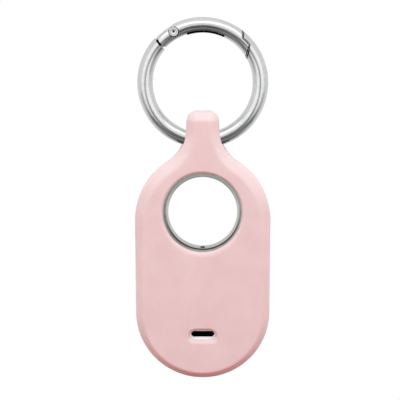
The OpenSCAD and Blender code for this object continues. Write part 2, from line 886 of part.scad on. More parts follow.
module battery_tray() {
  color([0.88, 0.88, 0.88])
    difference() {
      union() {
        intersection() {
          union() {
            // Floor and rim round the cell
            plate(tray_front, tray_back) {
              translate([0, cell_z]) circle(d = tray_w);
              translate([-tray_w / 2, tray_z]) square([tray_w, cell_z - tray_z]);
            }
            // Plug that carries the gasket
            plate(tray_cap_front, tray_back)
              translate([-tray_w / 2, tray_z]) square([tray_w, plug_h]);
          }
          plate(tray_cap_front, tray_back) oval_plan(room_r - tray_clear);
        }
        // End cap, a piece of the tag's own outline
        intersection() {
          upright_oval() slab_profile(tag_w / 2, tray_cap_front, tag_t / 2, 0, tag_round);
          translate([-tag_w / 2, tray_cap_front, low_z - tag_w])
            cube([tag_w, tray_back - tray_cap_front, tray_z - low_z + tag_w]);
        }
        // Tab that the ejector pin pushes
        translate([-tab_w / 2, tab_front, cell_z + cell_d / 2 + cell_clear])
          cube([tab_w, cell_back - tab_front, tab_h]);
      }
      plate(tray_front - over, cell_back + cell_clear)
        translate([0, cell_z])
          circle(r = cell_d / 2 + cell_clear);
      gasket_form(gasket_fit, gasket_fit);
    }
}

module tray_gasket() {
  color([0.2, 0.2, 0.22])
    gasket_form(0, 0);
}

module battery_can() {
  color([0.8, 0.81, 0.82])
    plate(cell_back - can_t, cell_back)
      translate([0, cell_z])
        circle(d = cell_d);
}

module battery_cap() {
  color([0.7, 0.71, 0.72])
    plate(cell_front, cell_back - can_t)
      translate([0, cell_z])
        circle(d = cap_share * cell_d);
}

contact_sheet = 0.2;
contact_gap = 0.02;
contact_w = 3;
contact_l = 5;
contact_dimple = 0.8;
module negative_contact() {
  color([0.85, 0.72, 0.4]) {
    plate(board_back, board_back + contact_sheet)
      translate([0, cell_z])
        square([contact_w, contact_l], center = true);
    plate(board_back, cell_front - contact_gap)
      translate([0, cell_z])
        circle(r = contact_dimple);
  }
}

module positive_contact() {
  x = (1 + cap_share) / 2 * cell_d / 2;
  rim_w = (1 - cap_share) / 2 * cell_d / 2;
  color([0.85, 0.72, 0.4]) {
    plate(board_back, board_back + contact_sheet)
      translate([x, cell_z])
        square([contact_w, contact_l], center = true);
    plate(board_back, cell_back - can_t - contact_gap)
      translate([x, cell_z])
        square([rim_w, contact_l / 2], center = true);
  }
}

ring_body();
ring_gate();
gate_rivet();
gate_spring();
spring_plunger();
case_shell();
case_rear_lip();
tag_front_housing();
tag_rear_housing();
tag_ring();
speaker_mesh();
speaker_gasket();
piezo_plate();
piezo_ceramic();
button_cap();
switch_dome();
circuit_board();
shield_can();
board_chips();
antenna_strip();
battery_tray();
tray_gasket();
battery_can();
battery_cap();
positive_contact();
negative_contact();
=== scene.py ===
import math

import bpy
import numpy as np
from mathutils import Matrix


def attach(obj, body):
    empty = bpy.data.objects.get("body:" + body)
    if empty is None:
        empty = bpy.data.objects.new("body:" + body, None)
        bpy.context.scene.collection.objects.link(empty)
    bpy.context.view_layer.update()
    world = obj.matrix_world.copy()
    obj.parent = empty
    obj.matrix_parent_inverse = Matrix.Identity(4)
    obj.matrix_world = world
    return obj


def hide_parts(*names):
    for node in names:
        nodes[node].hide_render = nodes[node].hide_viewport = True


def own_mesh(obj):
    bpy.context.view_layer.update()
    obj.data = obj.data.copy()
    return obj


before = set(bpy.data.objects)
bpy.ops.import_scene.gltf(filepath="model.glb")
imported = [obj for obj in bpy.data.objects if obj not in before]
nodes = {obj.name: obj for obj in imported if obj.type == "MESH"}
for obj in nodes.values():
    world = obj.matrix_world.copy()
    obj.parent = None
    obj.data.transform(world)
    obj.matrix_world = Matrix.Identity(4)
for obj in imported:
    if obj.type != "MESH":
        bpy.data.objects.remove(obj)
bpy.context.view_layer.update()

# ------------------------------------------------ places and sizes
# In millimetres, in the row frame, and as the CAD has them where nothing else is said: x runs to
# the right, y to the back and z up, with the middle of the ring at the origin.
MM = 0.001

# Ring, gate and rivet
RING_R = 14.75  # to the middle of the wire
WIRE_R = 2.0
PIVOT_X, PIVOT_Z = -7.4319, 13.0296
# The seam at the nose follows two arcs round the rivet, with a lap between them
SHOULDER_REACH, NOSE_REACH, LAP_R = 17.655, 19.597, 15.3

# Gate spring, on an arc of the ring that runs between these angles in degrees
SPRING_FROM, SPRING_TO, SPRING_R = 103.0, 66.2, 14.15
COIL_R, SPRING_WIRE, COIL_TURNS = 0.6, 0.3, 10

# Case, seen from the front: loop, neck, flare and two round ends
NECK_HALF = 4.19
LOOP_TOP, LOOP_CORNER, LOOP_Z = -6.903, 2.85, -RING_R
LOOP_X0, LOOP_Z0 = NECK_HALF - LOOP_CORNER, LOOP_TOP - LOOP_CORNER  # its corner turns on these
FLARE_R, FLARE_Z = 11.4, -10.70
UPPER_R, UPPER_Z = 17.3, -34.8
LOWER_R, LOWER_Z = 17.05, -58.44
SIDE_TILT = math.asin((UPPER_R - LOWER_R) / (UPPER_Z - LOWER_Z))
FLARE_TILT = math.asin((NECK_HALF + FLARE_R) / (UPPER_R + FLARE_R))
FLARE_END_Z = UPPER_Z + UPPER_R * math.cos(FLARE_TILT)
# How much lower than in the CAD the outline lies, as the photograph shows it: (z, shift)
EDGE_SHIFT = [(-78.0, -0.15), (-60.0, 0.0), (-46.0, 0.0), (-30.0, 0.33)]

# Loop's bore: clear of the wire, and wider to both sides as the ring curves
BORE_R = 12.6
BORE_ROUND = 0.7

# Case, seen from the side
FRONT_Y, BACK_Y = -5.55, 5.45
BEVEL_D, BEVEL_W = 1.9, 2.6
# The bevel's corners, as shares of its width and depth, with the radius of each
BEVEL_CORNERS = [(0.83, 0.0, 1.6), (0.12, 0.8, 0.9), (0.0, 1.25, 0.7)]
# The width that it has at each height, as (z, width)
BEVEL_AT = [
    (-80.0, 1.55),
    (-75.5, 1.55),
    (-69.0, 1.75),
    (-58.4, 2.15),
    (-46.0, 2.25),
    (-34.0, 2.8),
    (-25.0, 3.05),
    (-19.0, 2.85),
    (-14.0, 2.55),
    (0.0, 2.55),
]
RIM_ROUND = 1.0
POCKET_R, POCKET_FRONT, POCKET_BACK, POCKET_BLEND = 14.45, -4.05, 4.03, 0.12
LIP_R = 12.6

# Hole in the case's front, and the metal ring in it. As the photograph shows it, the eye is 0.1
# smaller than in the CAD and a little to the left, and its rounding is narrow at the top and wide
# at the bottom: (how low a point of the eye lies, from 0 to 1, width there).
HOLE_Z = -32.97
EYE_X, EYE_R, EYE_ROUND = -0.12, 10.1, 1.0
EYE_ROUND_AT = [(0.0, 0.55), (0.35, 0.65), (0.65, 1.05), (1.0, 1.55)]
MOUTH_STEP_R = 9.82
EJECT_Y = -2.0

# Speaker opening: a slot with a bevel, which widens downward in the same way
PORT_Z, PORT_HALF, PORT_R = -64.32, 2.1, 1.25
PORT_EDGE, PORT_EDGE_DEEP = 0.85, 0.45
PORT_EDGE_AT = [(0.0, 0.28), (0.5, 0.35), (0.75, 0.65), (1.0, 0.95)]

# Button's snap dome, as (radius, y) from the crown out over the top and back underneath
BUTTON_Z = -51.97
DOME_TOP = [(0.0, -2.6), (0.5, -2.595), (0.95, -2.565), (1.35, -2.5), (1.7, -2.4), (2.0, -2.3)]
DOME_UNDER = [(1.85, -2.3), (1.6, -2.36), (1.3, -2.43), (0.92, -2.49), (0.5, -2.515), (0.0, -2.52)]

# Grid for the silicone's mesh
CASE_LOW, CASE_HIGH = (-17.6, -5.9, -75.9), (17.6, 5.8, -6.5)
GRID = 0.35

# How far a cutting shape reaches out of the solid, and past its own axis
CLEAR, PORT_CLEAR, PAST_AXIS = 3.0, 4.0, -1.0
DEEP = 60.0  # further in from the outline than any point of the case


# ------------------------------------------------ signed distances, negative inside
def smooth_max(a, b, k):
    return np.maximum(a, b) + np.maximum(k - np.abs(a - b), 0.0) ** 2 / (4.0 * k)


def look_up(value, table):
    """The result at a value, on straight lines between the table's (value, result) pairs."""
    return np.interp(value, [v for v, _ in table], [r for _, r in table])


def arc_distance(px, pz, cx, cz, r, a0, a1):
    """Distance to an arc that runs from a0 to a1 degrees, a0 below a1."""
    dx, dz = px - cx, pz - cz
    a = np.degrees(np.arctan2(dz, dx))
    a = a0 + np.mod(a - a0, 360.0)
    on = np.abs(np.hypot(dx, dz) - r)
    e0, e1 = [
        np.hypot(dx - r * math.cos(math.radians(end)), dz - r * math.sin(math.radians(end)))
        for end in (a0, a1)
    ]
    return np.where(a <= a1, on, np.minimum(e0, e1))


def line_distance(px, pz, x0, z0, x1, z1):
    dx, dz = x1 - x0, z1 - z0
    t = np.clip(((px - x0) * dx + (pz - z0) * dz) / (dx * dx + dz * dz), 0.0, 1.0)
    return np.hypot(px - x0 - t * dx, pz - z0 - t * dz)


def plan_distance(x, z):
    """The case's outline seen from the front."""
    px = np.abs(x)
    c, s = math.cos(SIDE_TILT), math.sin(SIDE_TILT)
    side, flare = math.degrees(SIDE_TILT), math.degrees(FLARE_TILT)
    side_top = (UPPER_R * c, UPPER_Z - UPPER_R * s)
    side_low = (LOWER_R * c, LOWER_Z - LOWER_R * s)
    d = np.minimum.reduce(
        [
            line_distance(px, z, 0.0, LOOP_TOP, LOOP_X0, LOOP_TOP),
            arc_distance(px, z, LOOP_X0, LOOP_Z0, LOOP_CORNER, 0.0, 90.0),
            line_distance(px, z, NECK_HALF, LOOP_Z0, NECK_HALF, FLARE_Z),
            arc_distance(px, z, NECK_HALF + FLARE_R, FLARE_Z, FLARE_R, 180.0, 270.0 - flare),
            arc_distance(px, z, 0.0, UPPER_Z, UPPER_R, -side, 90.0 - flare),
            line_distance(px, z, *side_top, *side_low),
            arc_distance(px, z, 0.0, LOWER_Z, LOWER_R, -90.0, -side),
        ]
    )
    along = np.clip((UPPER_Z - z) / (UPPER_Z - LOWER_Z), 0.0, 1.0)
    half = (UPPER_R + (LOWER_R - UPPER_R) * along) / c
    reach = np.sqrt(np.maximum(FLARE_R**2 - (z - FLARE_Z) ** 2, 0.0))
    inside = (np.hypot(px, z - UPPER_Z) < UPPER_R) | (np.hypot(px, z - LOWER_Z) < LOWER_R)
    inside |= (z < UPPER_Z) & (z > LOWER_Z) & (px < half)
    inside |= (z <= FLARE_Z) & (z > FLARE_END_Z) & (px < NECK_HALF + FLARE_R - reach)
    inside |= (z <= LOOP_Z0) & (z >= FLARE_Z) & (px < NECK_HALF)
    inside |= (z > LOOP_Z0) & (z < LOOP_TOP) & (px < LOOP_X0)
    inside |= np.hypot(px - LOOP_X0, z - LOOP_Z0) < LOOP_CORNER
    return np.where(inside, -d, d)


def polygon_distance(u, v, points):
    """Signed distance to a closed polygon of (u, v) points."""
    d = np.full(u.shape, 1e9)
    inside = np.zeros(u.shape, bool)
    for k, (u0, v0) in enumerate(points):
        u1, v1 = points[(k + 1) % len(points)]
        d = np.minimum(d, line_distance(u, v, u0, v0, u1, v1))
        if v0 != v1:
            cross = (v0 > v) != (v1 > v)
            inside ^= cross & (u < u0 + (u1 - u0) * (v - v0) / (v1 - v0))
    return np.where(inside, -d, d)


def rounded(corners, steps=5):
    """A polygon from (u, v, radius) corners, each turned on its radius."""
    points = [np.array(corner[:2], float) for corner in corners]
    out = []
    for k, (_, _, r) in enumerate(corners):
        p = points[k]
        if r <= 0:
            out.append(tuple(p))
            continue
        a = points[k - 1] - p
        b = points[(k + 1) % len(points)] - p
        a /= np.linalg.norm(a)
        b /= np.linalg.norm(b)
        half = math.acos(max(-1.0, min(1.0, float(a @ b)))) / 2
        t = r / math.tan(half)
        p0, p1 = p + a * t, p + b * t
        for j in range(steps + 1):
            w = j / steps
            out.append(tuple((1 - w) ** 2 * p0 + 2 * w * (1 - w) * p + w * w * p1))
    return out


# From the front face to the back one, against the depth in from the outline
FORM = rounded(
    [(DEEP, FRONT_Y, 0.0)]
    + [(BEVEL_W * w, FRONT_Y + BEVEL_D * d, r) for w, d, r in BEVEL_CORNERS]
    + [(0.0, BACK_Y, RIM_ROUND), (DEEP, BACK_Y, 0.0)],
    8,
)
# Room for the tag, against the distance from the line between its round ends
ROOM = rounded(
    [
        (PAST_AXIS, POCKET_FRONT, 0.0),
        (POCKET_R, POCKET_FRONT, 1.6),
        (POCKET_R, POCKET_BACK, 0.3),
        (LIP_R, POCKET_BACK, 0.45),
        (LIP_R, BACK_Y, 1.6),
        (LIP_R + CLEAR, BACK_Y + CLEAR, 0.0),
        (PAST_AXIS, BACK_Y + CLEAR, 0.0),
    ],
)
# Hole in the front, against the distance from its axis
EYE = rounded(
    [
        (PAST_AXIS, FRONT_Y - CLEAR, 0.0),
        (EYE_R + CLEAR + EYE_ROUND, FRONT_Y - CLEAR, 0.0),
        (EYE_R + CLEAR + EYE_ROUND, FRONT_Y, 0.0),
        (EYE_R, FRONT_Y, EYE_ROUND),
        (EYE_R, 0.0, 0.0),
        (PAST_AXIS, 0.0, 0.0),
    ],
    8,
)
# Speaker opening, against the distance from its middle line
PORT = rounded(
    [
        (PAST_AXIS, FRONT_Y - CLEAR, 0.0),
        (PORT_R + PORT_CLEAR, FRONT_Y - CLEAR, 0.0),
        (PORT_R + PORT_CLEAR, FRONT_Y, 0.0),
        (PORT_R + PORT_EDGE, FRONT_Y, 0.4),
        (PORT_R, FRONT_Y + PORT_EDGE_DEEP, 0.25),
        (PORT_R, 0.0, 0.0),
        (PAST_AXIS, 0.0, 0.0),
    ],
)


def spread(distance, edge, drawn, wanted):
    """Stretches a distance beyond the edge, so that a form drawn at one width gets another."""
    return np.where(distance > edge, edge + (distance - edge) * (drawn / wanted), distance)


def silicone_distance(x, y, z):
    """The case: its form, less the room for the tag, the eye, the speaker opening and the bore."""
    depth = -plan_distance(x, z + look_up(z, EDGE_SHIFT))
    depth = np.where(depth > 0, depth * BEVEL_W / look_up(z, BEVEL_AT), depth)
    f = polygon_distance(depth, y, FORM)
    room = np.hypot(x, z - np.clip(z, LOWER_Z, UPPER_Z))
    f = smooth_max(f, -polygon_distance(room, y, ROOM), POCKET_BLEND)
    eye = np.hypot(x - EYE_X, z - HOLE_Z)
    low = 0.5 - 0.5 * (z - HOLE_Z) / np.maximum(eye, 1e-6)
    eye = spread(eye, EYE_R, EYE_ROUND, look_up(low, EYE_ROUND_AT))
    f = np.maximum(f, -polygon_distance(eye, y, EYE))
    port = np.hypot(np.maximum(np.abs(x) - PORT_HALF, 0.0), z - PORT_Z)
    low = np.clip(0.5 - 0.5 * (z - PORT_Z) / PORT_R, 0.0, 1.0)
    port = spread(port, PORT_R, PORT_EDGE, look_up(low, PORT_EDGE_AT))
    f = np.maximum(f, -polygon_distance(port, y, PORT))
    q = np.hypot(y, z - LOOP_Z)
    bore = BORE_R - np.hypot(x, np.maximum(RING_R - q, 0.0))
    bore = np.maximum(np.maximum(bore, np.abs(x) - 2 * NECK_HALF), q - RING_R)
    return smooth_max(f, -bore, BORE_ROUND)


# ------------------------------------------------ meshes
def new_mesh(name, verts, faces):
    """A mesh in metres with smooth faces."""
    mesh = bpy.data.meshes.new(name)
    mesh.from_pydata(verts, [], faces)
    mesh.polygons.foreach_set("use_smooth", np.ones(len(mesh.polygons), bool))
    return mesh


def surface_net(distance, low, high, step):
    """Points and quads of a closed net on the zero level of a distance, one point to a cell."""
    axes = [np.arange(low[k], high[k] + step, step) for k in range(3)]
    value = np.empty([len(a) for a in axes])
    gy, gz = np.meshgrid(axes[1], axes[2], indexing="ij")
    for i, x in enumerate(axes[0]):
        value[i] = distance(np.full(gy.shape, x), gy, gz)
    solid = value < 0
    cells = tuple(n - 1 for n in value.shape)
    total = np.zeros(cells + (3,))
    count = np.zeros(cells)
    quads = []
    for k in range(3):
        a = [slice(None)] * 3
        b = [slice(None)] * 3
        a[k], b[k] = slice(0, -1), slice(1, None)
        s0, s1 = solid[tuple(a)], solid[tuple(b)]
        idx = np.argwhere(s0 != s1)
        v0 = value[tuple(a)][tuple(idx.T)]
        v1 = value[tuple(b)][tuple(idx.T)]
        point = np.stack([axes[j][idx[:, j]] for j in range(3)], 1)
        point[:, k] += step * v0 / (v0 - v1)
        u, w = (k + 1) % 3, (k + 2) % 3
        ok = (idx[:, u] > 0) & (idx[:, w] > 0) & (idx[:, u] < cells[u]) & (idx[:, w] < cells[w])
        idx, point = idx[ok], point[ok]
        inside_first = s0[tuple(idx.T)]
        ring = []
        for du, dw in ((-1, -1), (0, -1), (0, 0), (-1, 0)):
            cell = idx.copy()
            cell[:, u] += du
            cell[:, w] += dw
            np.add.at(total, tuple(cell.T), point)
            np.add.at(count, tuple(cell.T), 1)
            ring.append(np.ravel_multi_index(tuple(cell.T), cells))
        ring = np.stack(ring, 1)
        ring[~inside_first] = ring[~inside_first][:, ::-1]
        quads.append(ring)
    used = np.flatnonzero(count.ravel())
    place = np.full(count.size, -1)
    place[used] = np.arange(len(used))
    points = total.reshape(-1, 3)[used] / count.ravel()[used][:, None]
    return points, place[np.concatenate(quads)]


def gradient(distance, p):
    e = 0.01  # millimetres to each side
    g = np.empty_like(p)
    for j in range(3):
        hi, lo = p.copy(), p.copy()
        hi[:, j] += e
        lo[:, j] -= e
        g[:, j] = (distance(*hi.T) - distance(*lo.T)) / (2 * e)
    return g


def unit(g):
    return g / np.maximum(np.linalg.norm(g, axis=1, keepdims=True), 1e-9)


def evened(points, quads, normal):
    """The points, drawn along the surface halfway to the middle of their neighbours."""
    near = np.zeros_like(points)
    times = np.zeros(len(points))
    for j in range(4):
        a, b = quads[:, j], quads[:, (j + 1) % 4]
        np.add.at(near, a, points[b])
        np.add.at(near, b, points[a])
        np.add.at(times, a, 1)
        np.add.at(times, b, 1)
    pull = near / times[:, None] - points
    pull -= normal * (pull * normal).sum(1, keepdims=True)
    return points + 0.5 * pull


def surface_mesh(name, distance, low, high, step, rounds=3):
    """A mesh on the zero level of a distance, with the surface's own normals."""
    least_slope = 0.2  # squared, so that no point is thrown far where the distance runs flat
    points, quads = surface_net(distance, low, high, step)
    for round_no in range(rounds):
        g = gradient(distance, points)
        f = distance(*points.T)
        move = -f[:, None] * g / np.maximum((g**2).sum(1), least_slope)[:, None]
        size = np.linalg.norm(move, axis=1, keepdims=True)
        points = points + move * np.minimum(1.0, 0.5 * step / np.maximum(size, 1e-9))
        if round_no < rounds - 1:
            points = evened(points, quads, unit(g))
    normal = unit(gradient(distance, points))
    mesh = new_mesh(name, (points * MM).tolist(), quads.tolist())
    mesh.normals_split_custom_set_from_vertices(normal.tolist())
    return mesh


def coil_mesh():
    """Gate spring: round wire wound on a line that follows the ring."""
    per_turn, sides = 28, 10
    k = np.arange(COIL_TURNS * per_turn + 1) / per_turn
    way = np.radians(SPRING_FROM + (SPRING_TO - SPRING_FROM) * k / COIL_TURNS)
    t = 2 * math.pi * k
    reach = SPRING_R + COIL_R * np.cos(t)
    line = np.stack([reach * np.cos(way), COIL_R * np.sin(t), reach * np.sin(way)], 1)
    ahead = np.gradient(line, axis=0)
    ahead /= np.linalg.norm(ahead, axis=1)[:, None]
    out = line - np.stack([SPRING_R * np.cos(way), 0 * way, SPRING_R * np.sin(way)], 1)
    out -= (out * ahead).sum(1)[:, None] * ahead
    out /= np.linalg.norm(out, axis=1)[:, None]
    side = np.cross(ahead, out)
    turned = 2 * math.pi * np.arange(sides)[None, :, None] / sides
    skin = np.cos(turned) * out[:, None] + np.sin(turned) * side[:, None]
    skin = line[:, None] + SPRING_WIRE / 2 * skin
    verts = skin.reshape(-1, 3) * MM
    faces = []
    for row in range(len(line) - 1):
        for j in range(sides):
            a, b = row * sides + j, row * sides + (j + 1) % sides
            faces.append((a, a + sides, b + sides, b))
    faces.append(tuple(range(sides)))
    faces.append(tuple(len(verts) - 1 - j for j in range(sides)))
    mesh = new_mesh("gate_coil", verts.tolist(), faces)
    for end in (-2, -1):
        mesh.polygons[end].use_smooth = False
    return mesh


def dome_mesh():
    """Snap dome under the button: thin sheet, crowned, with a flat foot on the board."""
    turns = 48
    verts, faces, rows = [], [], []
    for r, y in DOME_TOP + DOME_UNDER:
        if r == 0.0:
            rows.append([len(verts)] * turns)
            verts.append((0.0, y * MM, BUTTON_Z * MM))
            continue
        rows.append(list(range(len(verts), len(verts) + turns)))
        for k in range(turns):
            a = 2 * math.pi * k / turns
            verts.append((r * math.cos(a) * MM, y * MM, (BUTTON_Z + r * math.sin(a)) * MM))
    for low, high in zip(rows, rows[1:]):
        for k in range(turns):
            m = (k + 1) % turns
            faces.append(tuple(dict.fromkeys([low[k], low[m], high[m], high[k]])))
    return new_mesh("snap_dome", verts, faces)


def add_object(name, data):
    obj = bpy.data.objects.new(name, data)
    bpy.context.scene.collection.objects.link(obj)
    return obj


def add_piece(name, mesh, body, material, replaced):
    obj = add_object(name, mesh)
    mesh.materials.append(material)
    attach(obj, body)
    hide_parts(*replaced)
    return obj


# ------------------------------------------------ nodes in few words
class Nodes:
    """The nodes of a material or a world. A value is a number, a colour or a node's output."""

    def __init__(self, owner):
        owner.use_nodes = True
        self.tree = owner.node_tree
        self.tree.nodes.clear()

    def put(self, value, socket):
        if isinstance(value, bpy.types.NodeSocket):
            self.tree.links.new(value, socket)
        else:
            socket.default_value = value

    def add(self, kind, **values):
        node = self.tree.nodes.new(kind)
        for name, value in values.items():
            self.put(value, node.inputs[name.replace("_", " ")])
        return node

    def math(self, operation, *values):
        node = self.tree.nodes.new("ShaderNodeMath")
        node.operation = operation
        for k, value in enumerate(values):
            self.put(value, node.inputs[k])
        return node.outputs[0]

    def plus(self, a, b):
        return self.math("ADD", a, b)

    def minus(self, a, b):
        return self.math("SUBTRACT", a, b)

    def times(self, a, b):
        return self.math("MULTIPLY", a, b)

    def over(self, a, b):
        return self.math("DIVIDE", a, b)

    def max(self, a, b):
        return self.math("MAXIMUM", a, b)

    def abs(self, a):
        return self.math("ABSOLUTE", a)

    def far(self, u, v):
        return self.math("SQRT", self.plus(self.times(u, u), self.times(v, v)))

    def step(self, value, low, high, bottom=0.0, top=1.0):
        """bottom at low, top at high, smooth between and level beyond."""
        ends = dict(From_Min=low, From_Max=high, To_Min=bottom, To_Max=top)
        node = self.add("ShaderNodeMapRange", Value=value, **ends)
        node.interpolation_type = "SMOOTHSTEP"
        return node.outputs["Result"]

    def band(self, value, low, full_low, full_high, high):
        """1 between the two full values, 0 outside low and high, smooth between."""
        return self.times(self.step(value, low, full_low), self.step(value, high, full_high))

    def blend(self, share, a, b):
        """Colour a where the share is 0, b where it is 1."""
        node = self.tree.nodes.new("ShaderNodeMix")
        node.data_type = "RGBA"
        for value, k in ((share, 0), (a, 6), (b, 7)):
            self.put(value, node.inputs[k])
        return node.outputs[2]

    def ramp(self, value, stops):
        """A colour against the value, from (value, colour) stops."""
        node = self.add("ShaderNodeValToRGB", Fac=value)
        elements = node.color_ramp.elements
        while len(elements) < len(stops):
            elements.new(0.5)
        for k, (at, colour) in enumerate(stops):
            elements[k].position = at
            elements[k].color = colour
        return node.outputs["Color"]


class Material(Nodes):
    """A material with one shader, from noise that lies still on the piece."""

    GRAIN_LOW, GRAIN_HIGH = 0.3, 0.7  # nearly all of a noise lies between these

    def __init__(self, name):
        self.material = bpy.data.materials.new(name)
        super().__init__(self.material)
        self.shader = self.add("ShaderNodeBsdfPrincipled")
        self.add("ShaderNodeOutputMaterial", Surface=self.shader.outputs["BSDF"])

    def set(self, **values):
        for name, value in values.items():
            self.put(value, self.shader.inputs[name.replace("_", " ")])

    def place(self):
        """The three coordinates of a point in the row frame, in millimetres."""
        point = self.add("ShaderNodeTexCoord").outputs["Object"]
        split = self.add("ShaderNodeSeparateXYZ", Vector=point)
        return [self.times(split.outputs[k], 1.0 / MM) for k in range(3)]

    def noise(self, scale, detail=3.0, rough=0.55):
        """Noise with this many grains to the metre."""
        point = self.add("ShaderNodeTexCoord").outputs["Object"]
        look = dict(Scale=scale, Detail=detail, Roughness=rough)
        return self.add("ShaderNodeTexNoise", Vector=point, **look).outputs["Fac"]

    def tint(self, grain, low, high):
        return self.ramp(grain, [(self.GRAIN_LOW, low), (self.GRAIN_HIGH, high)])

    def span(self, grain, low, high, grain_high=GRAIN_HIGH):
        """low to high with the grain."""
        ends = dict(From_Min=self.GRAIN_LOW, From_Max=grain_high, To_Min=low, To_Max=high)
        return self.add("ShaderNodeMapRange", Value=grain, **ends).outputs["Result"]

    def bump(self, height, strength, distance, **under):
        look = dict(Height=height, Strength=strength, Distance=distance)
        return self.add("ShaderNodeBump", **look, **under).outputs["Normal"]


def srgb(r, g, b):
    def one(c):
        c = c / 255
        return c / 12.92 if c <= 0.04045 else ((c + 0.055) / 1.055) ** 2.4

    return (one(r), one(g), one(b), 1.0)


def grey(v):
    return (v, v, v, 1)


# ------------------------------------------------ materials
GRIT = 0.00003  # height of the fine grain on hard surfaces, in metres


def silicone_material():
    """Soft pink, with light going a little way in, and a dusty grain."""
    n = Material("silicone")
    blotch = n.noise(160.0)
    grain = n.noise(5200.0, 2.0, 0.6)
    n.set(
        Base_Color=n.tint(blotch, srgb(228, 203, 202), srgb(233, 210, 209)),
        Roughness=n.span(grain, 0.5, 0.62),
        Normal=n.bump(grain, 0.12, 0.00004),
        IOR=1.41,
        Sheen_Weight=0.03,
        Sheen_Roughness=0.5,
        Subsurface_Weight=0.5,
        Subsurface_Scale=0.0012,
        Subsurface_Radius=(1.0, 0.4, 0.35),
    )
    return n.material


def plated(n, **under):
    """Bright plating over a bump. Gives its faint streaks, and a roughness that follows them."""
    streak = n.noise(1400.0, 5.0, 0.7)
    grit = n.noise(3600.0, 2.0, 0.6)
    n.set(Metallic=1.0, Normal=n.bump(grit, 0.1, GRIT, **under))
    return streak, n.span(streak, 0.06, 0.14, grain_high=0.75)


# Drawing marks: how many to the radian along the wire and round it, and their depth in metres
MARKS_ALONG, MARKS_ROUND, MARKS_DEEP = 2.5, 9.0, 0.00002
BARE_AND_SHADED_FROM = 0.045  # the metal is bare, and painted near black as shade, from this far inside the wire's skin
# The seam's middle beside the CAD's line, and how far from it the metal carries a painted line of
# shade, and where it is clear of it
SEAM_AT, SEAM_DARK, SEAM_CLEAR = 0.05, 0.17, 0.32
SEAM_WIDER = [(15.0, 14.4, 0.09), (15.4, 15.8, 0.05)]  # the painted shade is wider from one ring radius to another, by this
# The gap at the rivet: where it ends in x, and the ring radii between which it lies in painted
# shade
GAP_X = (-8.2, -8.6)
GAP_DARK = (13.9, 14.6, 15.9, 16.15)
# The nose's own faces: where they begin in x, and how deep in the wire
NOSE_X, NOSE_DEPTH = (7.4, 7.9), (0.0, 0.2)
BARE_ROUGHNESS = 0.7
# Painted shade: the near-black colour of the metal inside the wire
SHADED_BARE_METAL, NOSE_METAL = (0.016, 0.016, 0.017, 1), grey(0.3)
# Light grey of the gap's faces, and the near-black colour of the painted shade along the seam
GAP_METAL, SEAM_SHADE_METAL = grey(0.8), (0.012, 0.012, 0.013, 1)


def from_pivot(n, x, z):
    return n.far(n.minus(x, PIVOT_X), n.minus(z, PIVOT_Z))


def chrome_material():
    """Ring and gate: plated and drawn. Inside the wire and in the seams the metal is bare and
    carries painted shade.
    """
    n = Material("chrome")
    x, y, z = n.place()
    ring = n.far(x, z)
    out = n.minus(ring, RING_R)
    depth = n.far(out, y)
    marks = n.add(
        "ShaderNodeCombineXYZ",
        X=n.times(n.math("ARCTAN2", z, x), MARKS_ALONG),
        Y=n.times(n.math("ARCTAN2", y, out), MARKS_ROUND),
    ).outputs[0]
    marks = n.add("ShaderNodeTexNoise", Vector=marks, Scale=1.0, Detail=2.0, Roughness=0.6)
    drawn = n.bump(marks.outputs["Fac"], 1.0, MARKS_DEEP)
    streak, roughness = plated(n, Normal=drawn)
    plate = n.tint(streak, (0.70, 0.705, 0.71, 1), (0.84, 0.84, 0.845, 1))

    pivot = from_pivot(n, x, z)
    lap = n.max(n.minus(pivot, NOSE_REACH), n.minus(ring, LAP_R))
    lap = n.math("MINIMUM", n.minus(pivot, SHOULDER_REACH), lap)
    off_seam = n.abs(n.minus(lap, SEAM_AT))
    for start, end, wider in SEAM_WIDER:
        off_seam = n.minus(off_seam, n.times(n.step(ring, start, end), wider))
    off_seam = n.step(off_seam, SEAM_DARK, SEAM_CLEAR)
    upper_right = n.times(n.step(x, 0.0, 1.0), n.step(z, 0.0, 1.0))
    skin = n.step(depth, WIRE_R - BARE_AND_SHADED_FROM, WIRE_R - BARE_AND_SHADED_FROM / 3)
    skin = n.times(skin, n.max(off_seam, n.minus(1.0, upper_right)))

    nose = n.times(n.step(x, *NOSE_X), n.step(depth, *NOSE_DEPTH))
    # Painted shade: the metal inside the wire is near black
    inner = n.blend(nose, SHADED_BARE_METAL, NOSE_METAL)
    gap = n.times(n.step(x, *GAP_X), n.minus(1.0, n.band(ring, *GAP_DARK)))
    inner = n.blend(gap, inner, GAP_METAL)
    # Painted shade: a dark line along the seam, on the outside of the ring and the gate
    inner = n.blend(off_seam, SEAM_SHADE_METAL, inner)
    n.set(
        Base_Color=n.blend(skin, inner, plate),
        Roughness=n.max(roughness, n.times(n.minus(1.0, skin), BARE_ROUGHNESS)),
    )
    return n.material


# Rivet's head: the radii between which it is bright, painted dark as shade in the dimple and round
# the edge, and a groove of painted shade that keeps a share of that
UNSHADED_RADII = (0.12, 0.5, 1.12, 1.2)
GROOVE_R, GROOVE_HALF, GROOVE_SHADE_SHARE = 0.72, 0.12, 0.55
WORN_ROUGHER = 0.3


def rivet_material():
    """Rivet: its head is bright between the dimple and the edge, with painted shade in the dimple,
    round the edge and in a groove.
    """
    n = Material("rivet_metal")
    _, roughness = plated(n)
    x, _, z = n.place()
    pivot = from_pivot(n, x, z)
    groove = n.step(n.abs(n.minus(pivot, GROOVE_R)), 0.0, GROOVE_HALF)
    groove_shade = n.plus(n.times(groove, 1.0 - GROOVE_SHADE_SHARE), GROOVE_SHADE_SHARE)
    unshaded = n.times(n.band(pivot, *UNSHADED_RADII), groove_shade)
    # Painted shade: near black outside the bright band, and darker in the groove
    n.set(
        Base_Color=n.blend(unshaded, (0.03, 0.03, 0.032, 1), (0.96, 0.96, 0.965, 1)),
        Roughness=n.plus(roughness, WORN_ROUGHER),
    )
    return n.material
